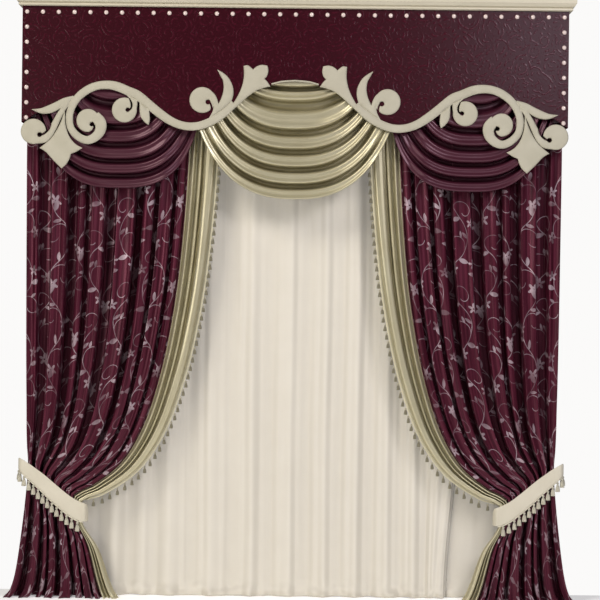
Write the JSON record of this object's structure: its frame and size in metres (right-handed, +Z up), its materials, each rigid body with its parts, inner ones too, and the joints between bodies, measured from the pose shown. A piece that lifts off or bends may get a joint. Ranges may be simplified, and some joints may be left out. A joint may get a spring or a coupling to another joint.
{
  "type": "window curtain set with a cornice board, pelmet and swags",
  "caption": "Window dressing: shaped pelmet with scrolls under a moulding, satin swags, sheer voile, and tied-back patterned drapes with gold edges and tassel fringe.",
  "frame": {"origin": "middle of the cornice board's back face, where it meets the wall", "axes": "+Z up, +X to the right as seen from the room, +Y into the wall, the room on the side of -Y"},
  "size_m": [2.6014, 0.2756, 2.7587],
  "materials": {
    "board_wood": "plain sawn pine",
    "cornice_paint": "cream satin paint on wood",
    "embossed_cloth": "burgundy cloth with a raised curling pattern",
    "ornament_cloth": "cream gold cloth over board",
    "burgundy_satin": "soft satin",
    "gold_satin": "soft satin",
    "vine_cloth": "satin with a woven vine and flower pattern",
    "tie_cloth": "matt ivory cloth over a stiff core",
    "fringe_yarn": "twisted yarn",
    "voile_cloth": "sheer plain voile"
  },
  "bodies": {
    "root": {"arch_piping": "ornament_cloth", "cornice_board": "board_wood", "cornice_moulding": "cornice_paint", "drape_left": "vine_cloth", "drape_right": "vine_cloth", "edge_band_left": "gold_satin", "edge_band_right": "gold_satin", "edge_fringe_left": "fringe_yarn", "edge_fringe_right": "fringe_yarn", "pelmet_panel": "embossed_cloth", "scroll_left": "ornament_cloth", "scroll_right": "ornament_cloth", "swag_centre": "gold_satin", "swag_left": "burgundy_satin", "swag_right": "burgundy_satin", "tie_fringe_left": "fringe_yarn", "tie_fringe_right": "fringe_yarn", "tieback_left": "tie_cloth", "tieback_right": "tie_cloth", "voile": "voile_cloth"}
  },
  "joints": []
}
